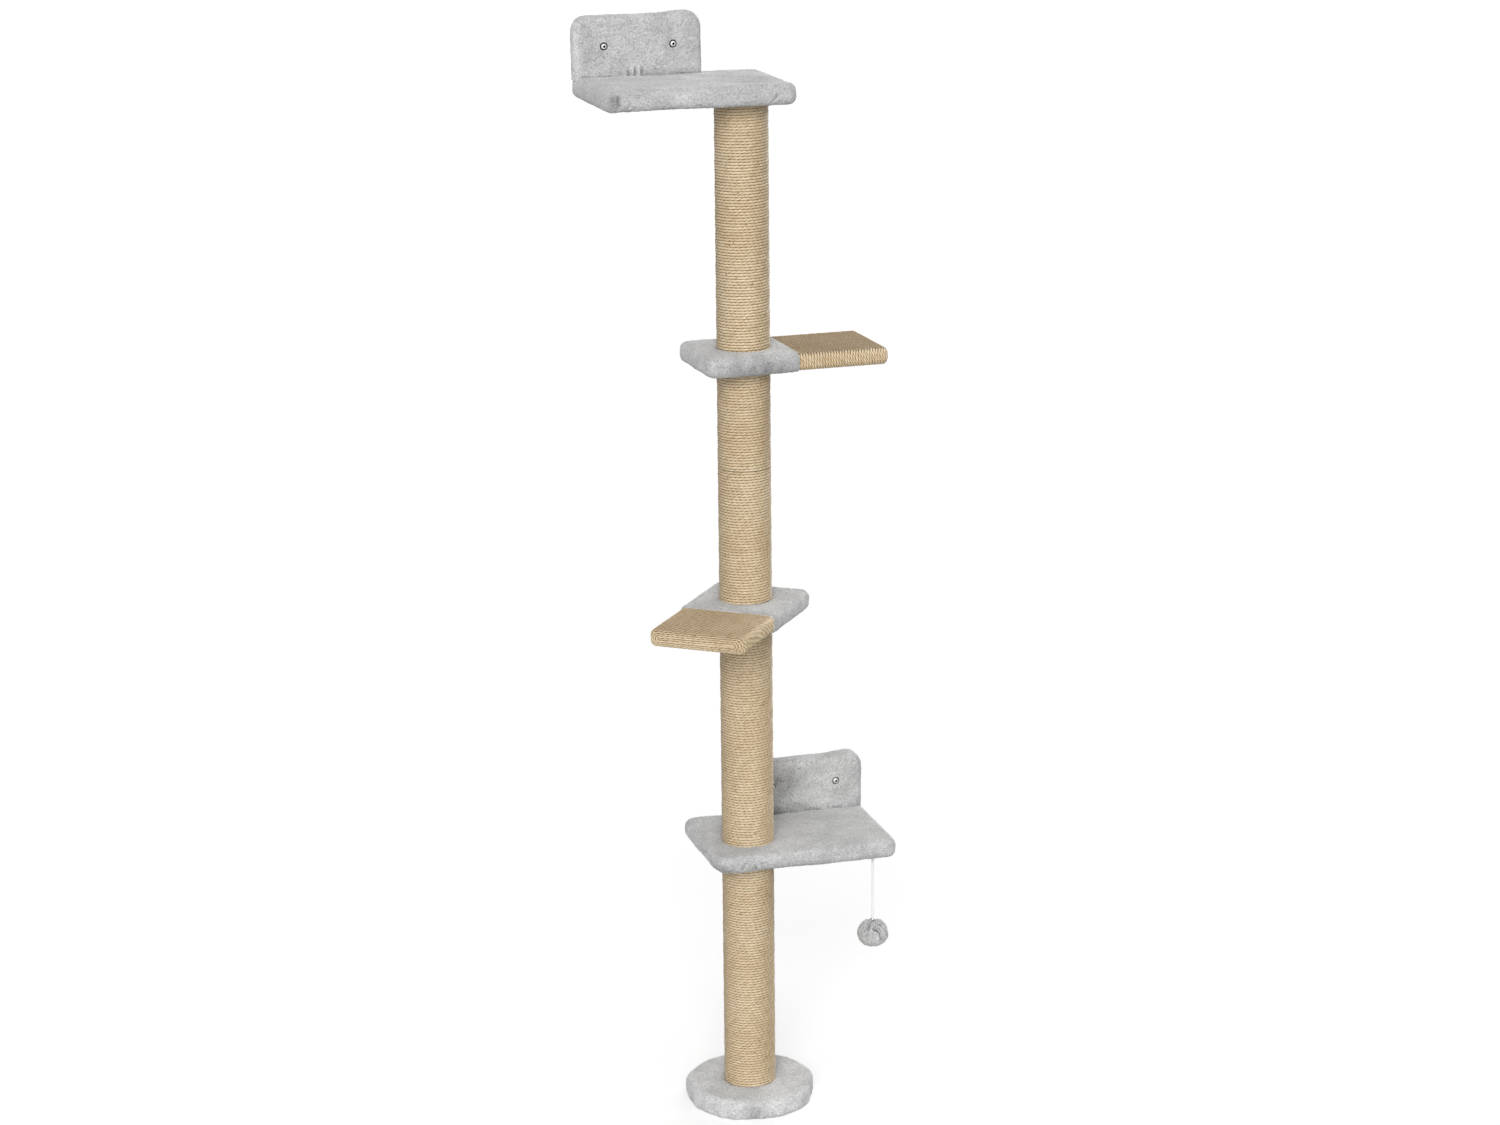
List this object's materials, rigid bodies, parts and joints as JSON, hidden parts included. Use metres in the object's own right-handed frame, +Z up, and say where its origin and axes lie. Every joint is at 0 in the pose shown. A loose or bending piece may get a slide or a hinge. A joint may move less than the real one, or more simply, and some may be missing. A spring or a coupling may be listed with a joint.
{
  "type": "wall-mounted cat tree",
  "caption": "Tall cat climbing tree: rope-wound post on a round plush base, plush shelves with wall plates, half rope-wound steps and a hanging ball.",
  "frame": {"origin": "on the posts' common axis, at the flat underside of the round base, on the floor", "axes": "+Z up along the posts, +Y towards the wall and square to it, +X to the right for someone who faces the wall"},
  "size_m": [0.4965, 0.3816, 1.8858],
  "materials": {
    "grey_plush": "short dense plush pile, matt",
    "ball_plush": "short plush gathered round a light filling",
    "rope": "natural twisted jute or sisal rope, matt",
    "chipboard": "raw chipboard",
    "cardboard": "wound kraft cardboard tube",
    "plastic": "moulded plug",
    "zinc": "bright zinc plating",
    "elastic": "round braided elastic"
  },
  "bodies": {
    "tree": {"base_board": "chipboard", "base_plush": "grey_plush", "base_bolt": "zinc", "post_1_tube": "cardboard", "post_1_plug_lower": "plastic", "post_1_plug_upper": "plastic", "post_2_tube": "cardboard", "post_2_plug_lower": "plastic", "post_2_plug_upper": "plastic", "post_3_tube": "cardboard", "post_3_plug_lower": "plastic", "post_3_plug_upper": "plastic", "post_4_tube": "cardboard", "post_4_plug_lower": "plastic", "post_4_plug_upper": "plastic", "rope_1": "rope", "rope_2": "rope", "rope_3_lower": "rope", "rope_3_upper": "rope", "rope_4": "rope", "stud_low_shelf": "zinc", "stud_lower_step": "zinc", "stud_upper_step": "zinc", "top_bolt": "zinc", "low_shelf_board": "chipboard", "low_shelf_plush": "grey_plush", "low_shelf_plate_board": "chipboard", "low_shelf_plate_plush": "grey_plush", "low_shelf_plate_joining_screw_left": "zinc", "low_shelf_plate_wall_screw_left": "zinc", "low_shelf_plate_washer_left": "plastic", "low_shelf_plate_joining_screw_right": "zinc", "low_shelf_plate_wall_screw_right": "zinc", "low_shelf_plate_washer_right": "plastic", "top_shelf_board": "chipboard", "top_shelf_plush": "grey_plush", "top_shelf_plate_board": "chipboard", "top_shelf_plate_plush": "grey_plush", "top_shelf_plate_joining_screw_left": "zinc", "top_shelf_plate_wall_screw_left": "zinc", "top_shelf_plate_washer_left": "plastic", "top_shelf_plate_joining_screw_right": "zinc", "top_shelf_plate_wall_screw_right": "zinc", "top_shelf_plate_washer_right": "plastic", "lower_step_board": "chipboard", "lower_step_plush": "grey_plush", "lower_step_rope": "rope", "lower_step_rope_end": "rope", "upper_step_board": "chipboard", "upper_step_plush": "grey_plush", "upper_step_rope": "rope", "upper_step_rope_end": "rope", "toy_staple": "zinc"},
    "toy_loop": {"toy_loop": "elastic"},
    "toy": {"toy_string": "elastic", "toy_ball": "ball_plush"}
  },
  "joints": [
    {"name": "toy_loop_swing", "type": "hinge", "parent": "tree", "child": "toy_loop", "pos_m": [0.2105, -0.0504, 0.4401], "axis": [1, 0, 0], "range_deg": [-60, 60]},
    {"name": "toy_string_swing", "type": "hinge", "parent": "toy_loop", "child": "toy", "pos_m": [0.2105, -0.0504, 0.4353], "axis": [0, 1, 0], "range_deg": [-60, 60]}
  ]
}
